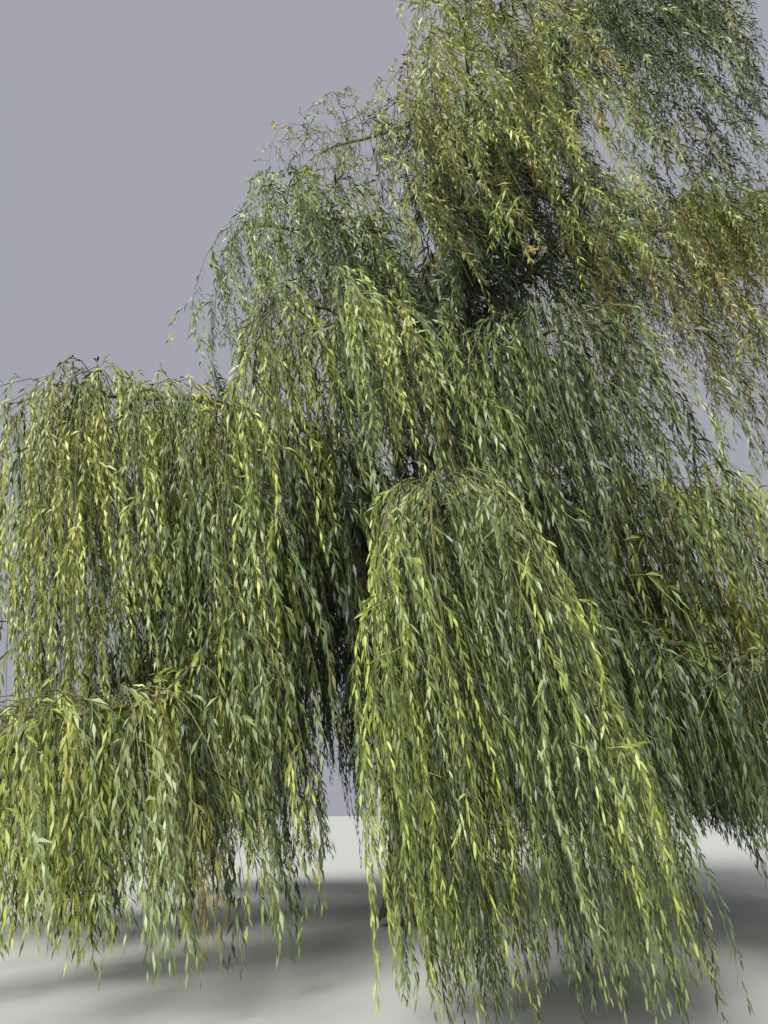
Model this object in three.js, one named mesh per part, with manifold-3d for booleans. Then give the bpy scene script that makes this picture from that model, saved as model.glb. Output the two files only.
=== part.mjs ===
// A weeping willow: a leaning trunk with a root flare, six great outer boughs with an inner bough
// each, nine middle and eight upper boughs, and weeping masses of foliage that hang in tiers round
// the space under the crown.
// Millimetres, +Z up. The origin is the middle of the flat cut at ground level.
// -Y is the side that faces the viewer, and the wind blows towards +X.
import * as THREE from "three";
import { mergeVertices } from "three/addons/utils/BufferGeometryUtils.js";
import Module from "manifold-3d";

const wasm = await Module();
wasm.setup();

// The trunk. It stands upright at its foot and then leans with the wind. Its rings stand closer
// together towards the foot, by the power TRUNK_STEPS.
const TRUNK_HEIGHT = 14300;
const TRUNK_LEAN = 2300;
const TRUNK_SWAY = 450;
const TRUNK_RADIUS = 320;
const TRUNK_TIP_RADIUS = 70;
const TRUNK_SIDES = 15;
const TRUNK_SEGMENTS = 12;
const TRUNK_STEPS = 1.9;
const FLARE_WIDTH = 230;
const FLARE_HEIGHT = 420;
const FLARE_LOBES = 5;
const FLARE_LOBE_DEPTH = 0.28;

// All limbs thin out towards their tips by this power of the way along them.
const TAPER = 0.85;

// The crown's middle line leans with the trunk, from a height upwards.
const CROWN_LEAN = 0.16;
const CROWN_LEAN_FROM = 3500;

// Each tier: the boughs that carry it, and how its masses hang from their tips.
// reach and top place a bough's tip, foot and tip are its radii, and spring is how steeply it leaves
// its parent. topVaries and reachVaries are the shares by which tips differ. hem is the height of the
// lowest leaves, stem is the length of the mass's own stem, spread is how far its twigs arch sideways
// and lift how far they rise.
// The outer boughs leave the trunk by turns at a low and a high level, one for each sector, and the
// further round from the front, the higher their tips. The front mass is narrower than the rest.
const SECTORS = 6;
const FRONT_AZIMUTH = -90;
const OUTER_FOOT = 2350;
const OUTER_FOOT_STEP = 620;
const OUTER_RISE = 550;
const OUTER_SEGMENTS = 6;
const FRONT_SPREAD = 1300;
const OUTER_BOUGH = {
  reach: 4900,
  reachVaries: 0.05,
  top: 4250,
  topVaries: 0.04,
  spring: 2600,
  foot: 150,
  tip: 44,
};
const OUTER_TIER = { hem: 180, stem: 1500, spread: 2300, lift: 800 };

// An inner bough leaves the middle of each outer bough, turned to one side of it, and hangs lower.
// The last one is turned less and hangs lowest.
const INNER_TURN = 40;
const LAST_INNER_TURN = 26;
const LAST_INNER_TOP = 2500;
const INNER_BOUGH = {
  reach: 4900,
  reachVaries: 0.06,
  top: 3000,
  topVaries: 0.06,
  spring: 500,
  foot: 66,
  tip: 38,
};
const INNER_TIER = { hem: 200, stem: 1100, spread: 1900, lift: 500 };

// The middle boughs leave the trunk above the outer ones and carry the longest curtains.
const MIDDLE_BOUGHS = 9;
const MIDDLE_AZIMUTH = -116;
const MIDDLE_FOOT = 4000;
const MIDDLE_FOOT_STEP = 500;
const MIDDLE_BOUGH = {
  reach: 3200,
  reachVaries: 0.08,
  top: 7500,
  topVaries: 0.07,
  spring: 2400,
  foot: 90,
  tip: 40,
};
const MIDDLE_TIER = { hem: 1200, stem: 1400, spread: 2200, lift: 900 };

// On the side that the wind blows towards, the curtains end higher above the ground and their boughs
// reach less high.
const LEEWARD_RISE = 800;
const OUTER_LEEWARD_DROP = 1300;
const MIDDLE_LEEWARD_DROP = 2400;

// The crown's rim: how far it reaches round its middle, drifted downwind, at rising heights.
const RIM = [
  { height: 8300, reach: 9000 },
  { height: 9800, reach: 5300 },
  { height: 13000, reach: 4900 },
  { height: 16000, reach: 4900 },
  { height: 18000, reach: 3500 },
];
const RIM_DRIFT = 500;

// The upper boughs wind up the trunk by the golden angle, shorter as they climb.
const UPPER_BOUGHS = 8;
const GOLDEN_ANGLE = 137.5;
const UPPER_AZIMUTH = 70;
const UPPER_FOOT = { low: 6500, high: 12300 };
const UPPER_RISE = { low: 3700, high: 3200 };
const UPPER_REACH = { low: 3400, high: 2300 };
const UPPER_SPRING = 0.62;
const UPPER_FOOT_RADIUS = { low: 92, high: 52 };
const UPPER_TIP_RADIUS = { low: 46, high: 32 };
const UPPER_REACH_VARIES = 0.08;
const UPPER_HEIGHT_VARIES = 0.03;
const UPPER_HEM = { low: 5800, high: 8800 };
const UPPER_SPREAD = { low: 2500, high: 2000 };
const UPPER_TIER = { stem: 1500, lift: 1100 };
const TOP_TIER = { hem: 12800, stem: 3500, spread: 2200, lift: 2200 };

// Twigs and the leaf sprays on them. A spray stands for the many small leaves on a weeping shoot.
const TWIGS_PER_MASS = 5;
const SPRAYS_PER_MASS = 12;
const TRIES_PER_TWIG = 400;
const TRIES_PER_SPRAY = 16;
const TWIG_RADIUS = 20;
const TWIG_TIP_RADIUS = 13;
const TWIG_SEGMENTS = 4;
const TWIG_STEPS = 1.5;
const TWIG_SIDES = 3;
const TWIG_END_RISE = 0.55;
const SPRAY_ORDER = [1, 3, 2];
const TWIG_FOOT = 0.14;
const STEM_SIDES = 4;
const STEM_SEGMENTS = 3;
const STEM_DROOP = 0.28;
const SPRAY_LENGTH = 0.42;
const SPRAY_SHORTEST = 800;
const SPRAY_LONGEST = 1700;
const SPRAY_SLENDERNESS = 0.22;
const SPRAY_THICKNESS = 0.03;
const SPRAY_SHOULDER = 0.34;
const SPRAY_SPLAY = 0.55;
const STEM_TIP_RADIUS = 24;
const WIND_AT_GROUND = 0.14;
const WIND_PER_METRE = 0.012;

// Clearances: between a limb and what grows on it, between the spaces of two masses, and between a
// twig or a spray and a limb that is not its own.
const GAP = 0.3;
const SPACE_MARGIN = 45;
const LIMB_MARGIN = 90;
const LIMB_SIDES = 5;
const LIMB_SEGMENTS = 4;

const UP = new THREE.Vector3(0, 0, 1);
const mix = THREE.MathUtils.lerp;

const material = (color, roughness) =>
  new THREE.MeshStandardMaterial({ color, roughness, metalness: 0 });
const bark = material(0x6b5d4c, 0.95);
const foliage = {
  outer: material(0x6f8f4a, 0.6),
  inner: material(0x4d6b45, 0.65),
  middle: material(0x64824a, 0.6),
  upper: material(0x7d8240, 0.65),
};

// The same numbers for the same seed, each from 0 to 1.
function seededRandom(seed) {
  let state = seed >>> 0;
  return () => {
    state = (state + 0x6d2b79f5) >>> 0;
    let t = Math.imul(state ^ (state >>> 15), state | 1);
    t ^= t + Math.imul(t ^ (t >>> 7), t | 61);
    return ((t ^ (t >>> 14)) >>> 0) / 4294967296;
  };
}

const compass = (degrees) => {
  const a = THREE.MathUtils.degToRad(degrees);
  return new THREE.Vector3(Math.cos(a), Math.sin(a), 0);
};

const along = (start, direction, length) => start.clone().addScaledVector(direction, length);

// A closed solid of a geometry's triangles.
function solidOf(geometry) {
  geometry.deleteAttribute("normal");
  geometry.deleteAttribute("uv");
  const merged = mergeVertices(geometry, 1e-3);
  return new wasm.Manifold(
    new wasm.Mesh({
      numProp: 3,
      vertProperties: merged.attributes.position.array,
      triVerts: new Uint32Array(merged.index.array),
    }),
  );
}

// The straight pieces that a bent cylinder follows, and the point at a share of the way along them.
const straightPieces = ({ curve, segments, steps }) =>
  Array.from({ length: segments + 1 }, (_, i) => curve.getPoint(steps(i / segments)));

function pointOn(line, share) {
  const at = share * (line.length - 1);
  const i = Math.min(Math.floor(at), line.length - 2);
  return line[i].clone().lerp(line[i + 1], at - i);
}

// A frame for each ring: square to the curve at both ends, halving the bend between two pieces
// elsewhere, and turning as little as it can.
function framesAlong({ curve, line }) {
  const headings = line.slice(1).map((point, i) => point.clone().sub(line[i]).normalize());
  const bends = headings.slice(1).map((heading, i) => heading.clone().add(headings[i]).normalize());
  const axes = [curve.getTangent(0), ...bends, curve.getTangent(1)];
  let normal = Math.abs(axes[0].z) > 0.9 ? new THREE.Vector3(1, 0, 0) : UP.clone();
  return axes.map((axis, i) => {
    normal = normal.clone().addScaledVector(axis, -normal.dot(axis)).normalize();
    return { point: line[i], normal, binormal: new THREE.Vector3().crossVectors(axis, normal) };
  });
}

const largestPiece = (solid) => solid.decompose().sort((a, b) => b.volume() - a.volume())[0];

// A cylinder bent along a limb's line. radiusAt(share, angle) gives its radius at each ring.
function bentCylinder(limb, radiusAt) {
  const geometry = new THREE.CylinderGeometry(1, 1, 1, limb.sides, limb.segments);
  const frames = framesAlong(limb);
  const place = geometry.attributes.position;
  for (let i = 0; i < place.count; i++) {
    const share = place.getY(i) + 0.5;
    const { point, normal, binormal } = frames[Math.round(share * limb.segments)];
    const x = place.getX(i);
    const z = place.getZ(i);
    const radius = radiusAt(share, Math.atan2(z, x), point.z);
    const bent = along(along(point, normal, x * radius), binormal, -z * radius);
    place.setXYZ(i, bent.x, bent.y, bent.z);
  }
  return solidOf(geometry);
}

// A limb tapers along its curve. Its solid follows straight pieces, spaced by steps.
function makeLimb(name, curve, foot, tip, shape = {}) {
  const plain = { sides: LIMB_SIDES, segments: LIMB_SEGMENTS, steps: (u) => u };
  const limb = { name, curve, foot, tip, ...plain, ...shape };
  limb.line = straightPieces(limb);
  return limb;
}

const limbRadius = (limb, share) => mix(limb.foot, limb.tip, limb.steps(share) ** TAPER);

// grown is the clearance that a limb's neighbours keep.
const limbSolid = (limb, grown = 0) => bentCylinder(limb, (share) => limbRadius(limb, share) + grown);

function trunkSolid(trunk, grown = 0) {
  return bentCylinder(trunk, (share, angle, height) => {
    const lobe = 1 + FLARE_LOBE_DEPTH * (Math.cos(FLARE_LOBES * angle) - 1);
    const flare = FLARE_WIDTH * lobe * Math.exp(-height / FLARE_HEIGHT);
    return limbRadius(trunk, share) + flare + grown;
  });
}

function makeTrunk() {
  const curve = new THREE.CubicBezierCurve3(
    new THREE.Vector3(0, 0, 0),
    new THREE.Vector3(0, 0, TRUNK_HEIGHT * 0.36),
    new THREE.Vector3(TRUNK_LEAN * 0.3, TRUNK_SWAY, TRUNK_HEIGHT * 0.68),
    new THREE.Vector3(TRUNK_LEAN, -TRUNK_SWAY, TRUNK_HEIGHT),
  );
  const shape = { sides: TRUNK_SIDES, segments: TRUNK_SEGMENTS, steps: (u) => u ** TRUNK_STEPS };
  return makeLimb("trunk", curve, TRUNK_RADIUS, TRUNK_TIP_RADIUS, shape);
}

// The share of the trunk's curve that lies below a height.
function fractionAtHeight(curve, height) {
  let low = 0;
  let high = 1;
  for (let i = 0; i < 30; i++) {
    const middle = (low + high) / 2;
    if (curve.getPoint(middle).z < height) low = middle;
    else high = middle;
  }
  return (low + high) / 2;
}

// A bough that springs upwards from its parent and arches over towards its tip.
function archingCurve(start, tip, azimuth, rise) {
  const out = compass(azimuth);
  const span = Math.hypot(tip.x - start.x, tip.y - start.y);
  return new THREE.CubicBezierCurve3(
    start,
    along(along(start, out, span * 0.25), UP, rise),
    along(along(tip, out, -span * 0.4), UP, span * 0.16),
    tip,
  );
}

// Places at a distance and height round the crown's own leaning middle.
function crownPoint(azimuth, reach, height) {
  const point = compass(azimuth).multiplyScalar(reach);
  point.x += CROWN_LEAN * Math.max(0, height - CROWN_LEAN_FROM);
  point.z = height;
  return point;
}

// 1 on the side that the wind blows towards, falling to 0 on the other.
const leeward = (azimuth) => Math.max(0, compass(azimuth).x);

// All limbs and, for each limb that carries a mass, the mass's facts.
function growLimbs() {
  const trunk = makeTrunk();
  const limbs = [trunk];
  const masses = [];
  const random = seededRandom(11);
  const vary = (share) => 1 + share * (2 * random() - 1);
  const tipOf = (bough, azimuth, top) => {
    const reach = bough.reach * vary(bough.reachVaries);
    return crownPoint(azimuth, reach, top * vary(bough.topVaries));
  };
  const onTrunk = (height) => trunk.curve.getPoint(fractionAtHeight(trunk.curve, height));
  const carry = (tierName, k, azimuth, curve, bough, tier, shape) => {
    const limb = makeLimb(`bough_${tierName}_${k + 1}`, curve, bough.foot, bough.tip, shape);
    limbs.push(limb);
    const name = `foliage_${tierName}_${k + 1}`;
    masses.push({ name, limb, azimuth, looks: tierName, seed: 100 + masses.length, ...tier });
    return limb;
  };

  for (let k = 0; k < SECTORS; k++) {
    const azimuth = FRONT_AZIMUTH + (360 / SECTORS) * k;
    const level = OUTER_BOUGH.top + OUTER_RISE * k - OUTER_LEEWARD_DROP * leeward(azimuth);
    const top = level * vary(OUTER_BOUGH.topVaries);
    const tip = crownPoint(azimuth, OUTER_BOUGH.reach * vary(OUTER_BOUGH.reachVaries), top);
    const start = onTrunk(OUTER_FOOT + OUTER_FOOT_STEP * (k % 2));
    const curve = archingCurve(start, tip, azimuth, OUTER_BOUGH.spring);
    const spread = k === 0 ? FRONT_SPREAD : OUTER_TIER.spread;
    const hem = OUTER_TIER.hem + LEEWARD_RISE * leeward(azimuth);
    const tier = { ...OUTER_TIER, hem, spread };
    const outer = carry("outer", k, azimuth, curve, OUTER_BOUGH, tier, { segments: OUTER_SEGMENTS });

    const last = k === SECTORS - 1;
    const between = azimuth + (last ? LAST_INNER_TURN : INNER_TURN);
    const innerTip = tipOf(INNER_BOUGH, between, last ? LAST_INNER_TOP : INNER_BOUGH.top);
    const innerCurve = archingCurve(pointOn(outer.line, 0.5), innerTip, between, INNER_BOUGH.spring);
    const innerHem = INNER_TIER.hem + LEEWARD_RISE * leeward(between);
    const innerTier = { ...INNER_TIER, hem: innerHem };
    carry("inner", k, between, innerCurve, INNER_BOUGH, innerTier);
  }

  for (let k = 0; k < MIDDLE_BOUGHS; k++) {
    const azimuth = MIDDLE_AZIMUTH + (360 / MIDDLE_BOUGHS) * k;
    const level = MIDDLE_BOUGH.top - MIDDLE_LEEWARD_DROP * leeward(azimuth);
    const tip = tipOf(MIDDLE_BOUGH, azimuth, level);
    const start = onTrunk(MIDDLE_FOOT + MIDDLE_FOOT_STEP * ((2 * k) % 3));
    const curve = archingCurve(start, tip, azimuth, MIDDLE_BOUGH.spring);
    carry("middle", k, azimuth, curve, MIDDLE_BOUGH, MIDDLE_TIER);
  }

  for (let k = 0; k < UPPER_BOUGHS; k++) {
    const share = k / (UPPER_BOUGHS - 1);
    const at = (range) => mix(range.low, range.high, share);
    const azimuth = UPPER_AZIMUTH + GOLDEN_ANGLE * k;
    const height = (at(UPPER_FOOT) + at(UPPER_RISE)) * vary(UPPER_HEIGHT_VARIES);
    const tip = crownPoint(azimuth, at(UPPER_REACH) * vary(UPPER_REACH_VARIES), height);
    const spring = at(UPPER_RISE) * UPPER_SPRING;
    const curve = archingCurve(onTrunk(at(UPPER_FOOT)), tip, azimuth, spring);
    const bough = { foot: at(UPPER_FOOT_RADIUS), tip: at(UPPER_TIP_RADIUS) };
    const tier = { ...UPPER_TIER, hem: at(UPPER_HEM), spread: at(UPPER_SPREAD) };
    carry("upper", k, azimuth, curve, bough, tier);
  }
  const top = { name: "foliage_top", limb: trunk, azimuth: 0, looks: "upper", seed: 500 };
  masses.push({ ...top, ...TOP_TIER });
  return { limbs, masses };
}

// A mass's stem goes on from the limb's tip, 0.3 mm clear of it, and droops. The space that the mass
// keeps to is what lies nearer to its axis, from the stem's middle to its hem, than to any other's.
function addStem(mass) {
  const tangent = mass.limb.curve.getTangent(1);
  const start = along(mass.limb.curve.getPoint(1), tangent, GAP);
  const upright = mass.name === "foliage_top";
  const out = upright ? new THREE.Vector3(0.25, -0.1, 0) : compass(mass.azimuth);
  const rise = upright ? 0.95 : -STEM_DROOP;
  const end = along(along(start, out, mass.stem * 0.85), UP, mass.stem * rise);
  mass.stemCurve = new THREE.CubicBezierCurve3(
    start,
    along(start, tangent, mass.stem * 0.35),
    along(along(end, out, -mass.stem * 0.25), UP, mass.stem * (upright ? -0.2 : 0.2)),
    end,
  );
  mass.out = upright ? compass(0) : out;
  const middle = mass.stemCurve.getPoint(0.6);
  const drop = middle.z - mass.hem;
  mass.axis = new THREE.Line3(
    along(middle, UP, mass.lift * 0.5),
    new THREE.Vector3(middle.x + drop * windAt(mass.hem + drop / 2), middle.y, mass.hem),
  );
  const shape = { sides: STEM_SIDES, segments: STEM_SEGMENTS };
  const foot = limbRadius(mass.limb, 1);
  mass.stemLimb = makeLimb(mass.name, mass.stemCurve, foot, STEM_TIP_RADIUS, shape);
}

const windAt = (height) => WIND_AT_GROUND + (WIND_PER_METRE * height) / 1000;

// The rim's reach at a height, between the nearest two heights that are given.
function rimAt(height) {
  const next = RIM.findIndex((level) => level.height > height);
  if (next < 1) return next < 0 ? RIM.at(-1).reach : RIM[0].reach;
  const [low, high] = [RIM[next - 1], RIM[next]];
  return mix(low.reach, high.reach, (height - low.height) / (high.height - low.height));
}

// True where a ball round the point lies in the mass's own space, in the rim and above the ground.
function inOwnSpace(mass, masses, point, radius) {
  if (point.z < radius + GAP) return false;
  const middle = crownPoint(0, 0, point.z).x + RIM_DRIFT;
  if (Math.hypot(point.x - middle, point.y) > rimAt(point.z)) return false;
  const own = distanceTo(mass.axis, point);
  const room = 2 * (radius + SPACE_MARGIN);
  return masses.every((other) => other === mass || distanceTo(other.axis, point) - own > room);
}

// The straight pieces of all limbs and stems, which a mass's twigs and sprays stay clear of.
function obstaclesOf(limbs, masses) {
  const stems = masses.map((mass) => [mass, mass.stemLimb]);
  const owners = [...limbs.map((limb) => [limb, limb]), ...stems];
  return owners.flatMap(([owner, limb]) =>
    limb.line.slice(1).map((end, i) => {
      const radius = limbRadius(limb, i / (limb.line.length - 1));
      return { owner, piece: new THREE.Line3(limb.line[i], end), radius };
    }),
  );
}

function distanceTo(piece, point) {
  return piece.closestPointToPoint(point, true, new THREE.Vector3()).distanceTo(point);
}

function clearOf(obstacles, mass, point, radius) {
  const others = obstacles.filter((other) => other.owner !== mass);
  return others.every((other) => {
    return distanceTo(other.piece, point) > other.radius + radius + LIMB_MARGIN;
  });
}

// A twig leaves the stem sideways, arches over and hangs down, leaning with the wind. Its place on
// the stem and its side are given by turns, so that the twigs of a mass are even all round.
function makeTwig(mass, turn, random) {
  const share = 0.08 + (0.9 * (turn + 0.3 + 0.6 * random())) / TWIGS_PER_MASS;
  const start = pointOn(mass.stemLimb.line, share);
  const sideways = (turn % 2 ? -1 : 1) * mix(120, 25, share) * (0.6 + 0.5 * random());
  const heading = mass.out.clone().applyAxisAngle(UP, THREE.MathUtils.degToRad(sideways));
  const reach = mass.spread * mix(0.25, 1, random());
  const lift = mass.lift * mix(0.4, 1, random());
  const hem = mix(mass.hem, start.z, TWIG_END_RISE * random() ** 2);
  const drop = start.z - hem;
  const foot = along(start, heading, reach);
  foot.x += drop * windAt((start.z + hem) / 2);
  foot.z = hem + TWIG_FOOT * drop;
  const shoulder = along(along(start, heading, reach * 1.05), UP, -drop * 0.4);
  shoulder.x += drop * 0.25 * windAt(start.z);
  const rise = along(along(start, heading, reach * 0.6), UP, lift * 1.3);
  const curve = new THREE.CubicBezierCurve3(start, rise, shoulder, foot);
  const shape = { sides: TWIG_SIDES, segments: TWIG_SEGMENTS, steps: (u) => u ** TWIG_STEPS };
  const twig = makeLimb("twig", curve, TWIG_RADIUS, TWIG_TIP_RADIUS, shape);
  return { ...twig, hem, drop, covers: twigBalls(twig) };
}

// A leaf spray: an octahedron drawn out to a long blade. Its root is sunk in the twig, it stands off
// as far as its shoulder, and from there it hangs.
function spraySolid(spray) {
  const geometry = new THREE.OctahedronGeometry(1);
  const place = geometry.attributes.position;
  const face = new THREE.Vector3().crossVectors(spray.hang, spray.side);
  for (let i = 0; i < place.count; i++) {
    const y = place.getY(i);
    const middle = y > 0.5 ? spray.root : y < -0.5 ? spray.tip : spray.shoulder;
    const edge = along(middle, spray.side, (place.getX(i) * spray.width) / 2);
    const p = along(edge, face, (place.getZ(i) * spray.thickness) / 2);
    place.setXYZ(i, p.x, p.y, p.z);
  }
  return solidOf(geometry);
}

// A spray leaves the middle of a straight piece of its twig, through one of the twig's three flat
// sides, and hangs no lower than the twig's hem.
function makeSpray(twig, piece, random) {
  const { normal, binormal } = framesAlong(twig)[piece];
  const root = pointOn(twig.line, (piece + 0.5) / TWIG_SEGMENTS);
  const grown = THREE.MathUtils.clamp(twig.drop * SPRAY_LENGTH, SPRAY_SHORTEST, SPRAY_LONGEST);
  const length = Math.min(grown * (0.75 + 0.25 * random()), root.z - twig.hem);
  const angle = THREE.MathUtils.degToRad(60 + 120 * Math.floor(3 * random()));
  const splay = normal.multiplyScalar(Math.sin(angle)).addScaledVector(binormal, -Math.cos(angle));
  const side = compass(360 * random());
  const hang = new THREE.Vector3(windAt(root.z), 0, -1).normalize();
  const outwards = hang.clone().addScaledVector(splay, SPRAY_SPLAY).normalize();
  const shoulder = along(root, outwards, length * SPRAY_SHOULDER);
  const tip = along(shoulder, hang, length * (1 - SPRAY_SHOULDER));
  side.addScaledVector(hang, -side.dot(hang)).normalize();
  const width = length * SPRAY_SLENDERNESS;
  const covers = sprayBalls(root, shoulder, tip, width);
  return { root, shoulder, tip, hang, side, width, thickness: length * SPRAY_THICKNESS, covers };
}

// Balls that cover a twig or a spray, as [centre, radius], for the tests of room. A twig's first ones
// may lie close to its neighbours, as they all leave the same stem.
const TWIG_BALLS = 30;
const TWIG_BALLS_AT_STEM = 8;

function twigBalls({ line }) {
  return Array.from({ length: TWIG_BALLS }, (_, i) => {
    return [pointOn(line, (i + 1) / TWIG_BALLS), TWIG_RADIUS];
  });
}

function sprayBalls(root, shoulder, tip, width) {
  const sunk = [0.2, 0.4, 0.6, 0.8, 1].map((share) => {
    return [root.clone().lerp(shoulder, share), (share * width) / 2];
  });
  const hung = [0.1, 0.2, 0.3, 0.4, 0.5, 0.65, 0.8, 1].map((share) => {
    return [shoulder.clone().lerp(tip, share), Math.max(((1 - share) * width) / 2, TWIG_TIP_RADIUS)];
  });
  return [...sunk, ...hung];
}

// True where no ball of one list comes near a ball of the other.
const apart = (some, others) =>
  some.every(([p, r]) => others.every(([q, s]) => p.distanceTo(q) > (r + s) * 0.9));

// The first of several tries that fits, as a list of one, or an empty list.
function firstFit(tries, make, fits) {
  for (let i = 0; i < tries; i++) {
    const made = make();
    if (fits(made)) return [made];
  }
  return [];
}

// The mass as one solid: its stem, the twigs that fit its space and the sprays that fit on them.
function massSolid(mass, masses, obstacles) {
  const random = seededRandom(mass.seed);
  const hasRoom = ({ covers }) =>
    covers.every(([p, r]) => inOwnSpace(mass, masses, p, r) && clearOf(obstacles, mass, p, r));
  const twigs = [];
  for (let turn = 0; turn < TWIGS_PER_MASS; turn++) {
    const make = () => makeTwig(mass, turn, random);
    const free = (twig) => {
      const hanging = twig.covers.slice(TWIG_BALLS_AT_STEM);
      return hasRoom(twig) && twigs.every((other) => apart(hanging, other.covers));
    };
    twigs.push(...firstFit(TRIES_PER_TWIG, make, free));
  }
  const sprays = [];
  for (const piece of SPRAY_ORDER)
    for (const twig of twigs) {
      const make = () => makeSpray(twig, piece, random);
      const others = [...twigs.filter((other) => other !== twig), ...sprays];
      const free = (spray) => {
        return hasRoom(spray) && others.every((other) => apart(spray.covers, other.covers));
      };
      if (sprays.length < SPRAYS_PER_MASS) sprays.push(...firstFit(TRIES_PER_SPRAY, make, free));
    }
  const twigSolids = twigs.map((twig) => limbSolid(twig));
  const parts = [limbSolid(mass.stemLimb), ...twigSolids, ...sprays.map(spraySolid)];
  const solid = parts.reduce((fused, part) => fused.add(part));
  return largestPiece(solid);
}

// A mesh of a solid, in its own named place in the group.
function meshOf(name, solid, looks) {
  const { vertProperties, numProp, numVert, triVerts } = solid.getMesh();
  const points = new Float32Array(numVert * 3);
  for (let i = 0; i < numVert; i++)
    points.set(vertProperties.subarray(i * numProp, i * numProp + 3), i * 3);
  const geometry = new THREE.BufferGeometry();
  geometry.setAttribute("position", new THREE.BufferAttribute(points, 3));
  geometry.setIndex(new THREE.BufferAttribute(triVerts, 1));
  geometry.computeVertexNormals();
  const mesh = new THREE.Mesh(geometry, looks);
  mesh.name = name;
  return mesh;
}

const willow = new THREE.Group();
willow.name = "weeping_willow";
const { limbs, masses } = growLimbs();
masses.forEach(addStem);
const obstacles = obstaclesOf(limbs, masses);

// Each limb is cut clear of those made before it, so that it starts at its parent's bark.
const cleared = [];
for (const limb of limbs) {
  const build = limb.name === "trunk" ? trunkSolid : limbSolid;
  let solid = build(limb);
  for (const other of cleared) solid = solid.subtract(other);
  cleared.push(build(limb, GAP));
  willow.add(meshOf(limb.name, largestPiece(solid), bark));
}
for (const mass of masses) {
  const solid = massSolid(mass, masses, obstacles);
  willow.add(meshOf(mass.name, solid, foliage[mass.looks]));
}

export default willow;
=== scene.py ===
# %% [markdown]
# # A weeping willow, dressed round its solids
#
# The solids give the trunk, the boughs and one coarse mass of foliage at the end of each bough.
# This script grows the real tree on that frame. The growing rule is the one that made the solids:
# boughs, then a stem at each bough's tip, then twigs that arch over and hang. Here it goes on to
# the fine shoots and the leaves on them. Everything is in metres, with the middle of the trunk's
# flat cut at the origin, +Z up, and the wind blowing towards +X.

# %% Load the solids
import math

import bpy
import numpy as np
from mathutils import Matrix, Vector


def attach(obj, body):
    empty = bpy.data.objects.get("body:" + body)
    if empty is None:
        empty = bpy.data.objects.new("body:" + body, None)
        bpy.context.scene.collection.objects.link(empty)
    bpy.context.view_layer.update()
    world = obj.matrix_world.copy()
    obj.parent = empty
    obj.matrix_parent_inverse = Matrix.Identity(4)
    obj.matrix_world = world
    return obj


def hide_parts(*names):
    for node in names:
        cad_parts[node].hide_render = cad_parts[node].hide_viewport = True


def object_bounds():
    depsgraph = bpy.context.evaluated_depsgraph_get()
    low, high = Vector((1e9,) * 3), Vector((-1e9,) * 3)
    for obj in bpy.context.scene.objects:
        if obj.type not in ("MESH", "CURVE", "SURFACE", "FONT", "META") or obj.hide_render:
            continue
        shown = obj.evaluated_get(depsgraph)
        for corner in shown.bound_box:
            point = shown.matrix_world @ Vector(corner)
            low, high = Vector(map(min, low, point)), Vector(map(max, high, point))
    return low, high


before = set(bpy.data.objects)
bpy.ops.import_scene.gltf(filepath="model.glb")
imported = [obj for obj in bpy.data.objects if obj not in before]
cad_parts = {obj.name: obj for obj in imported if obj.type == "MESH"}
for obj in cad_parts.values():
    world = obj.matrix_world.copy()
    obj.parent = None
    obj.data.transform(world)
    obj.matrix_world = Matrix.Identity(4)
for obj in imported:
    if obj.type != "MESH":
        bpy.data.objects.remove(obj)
cad_low, cad_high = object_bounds()
print("solids reach from", tuple(cad_low), "to", tuple(cad_high))

# %% [markdown]
# ## The same numbers for the same seed
#
# A tree looks grown when no two limbs are alike, but it has to come out the same each time. A small
# generator of seeded random numbers does both. This one gives the numbers that placed the solids.

# %% A seeded generator and a few helpers for points
WORD = 0xFFFFFFFF
UP = np.array([0.0, 0.0, 1.0])


def seeded_random(seed):
    state = seed & WORD

    def draw():
        nonlocal state
        state = (state + 0x6D2B79F5) & WORD
        t = (state ^ (state >> 15)) * (state | 1) & WORD
        t ^= (t + ((t ^ (t >> 7)) * (t | 61) & WORD)) & WORD
        return (t ^ (t >> 14)) / 2**32

    return draw


def mix(a, b, share):
    return a + (b - a) * share


def unit(vectors):
    return vectors / np.linalg.norm(vectors, axis=-1, keepdims=True)


def compass(degrees):
    a = math.radians(degrees)
    return np.array([math.cos(a), math.sin(a), 0.0])


def curve_points(curve, shares):
    """Points of a cubic Bezier curve, which is held as its four control points."""
    u = np.asarray(shares, float)[..., None]
    a, b, c, d = curve
    return (1 - u) ** 3 * a + 3 * (1 - u) ** 2 * u * b + 3 * (1 - u) * u**2 * c + u**3 * d


def end_heading(curve):
    return unit(curve[3] - curve[2])


def on_pieces(curve, share, pieces):
    """The point at a share of the way along the straight pieces that a solid follows."""
    at = share * pieces
    first = min(int(at), pieces - 1)
    ends = curve_points(curve, [first / pieces, (first + 1) / pieces])
    return mix(ends[0], ends[1], at - first)


# %% [markdown]
# ## The trunk and the boughs
#
# The trunk rises straight, then leans downwind. Six great outer boughs leave it low down, one to each
# side, and an inner bough leaves the middle of each. Nine middle boughs stand above them, and eight
# upper boughs wind up the trunk by the golden angle. Each limb is one curve with a thickness at each
# end. The numbers are those of the solids, so that the bark and the leaves sit where the solids are.

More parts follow.
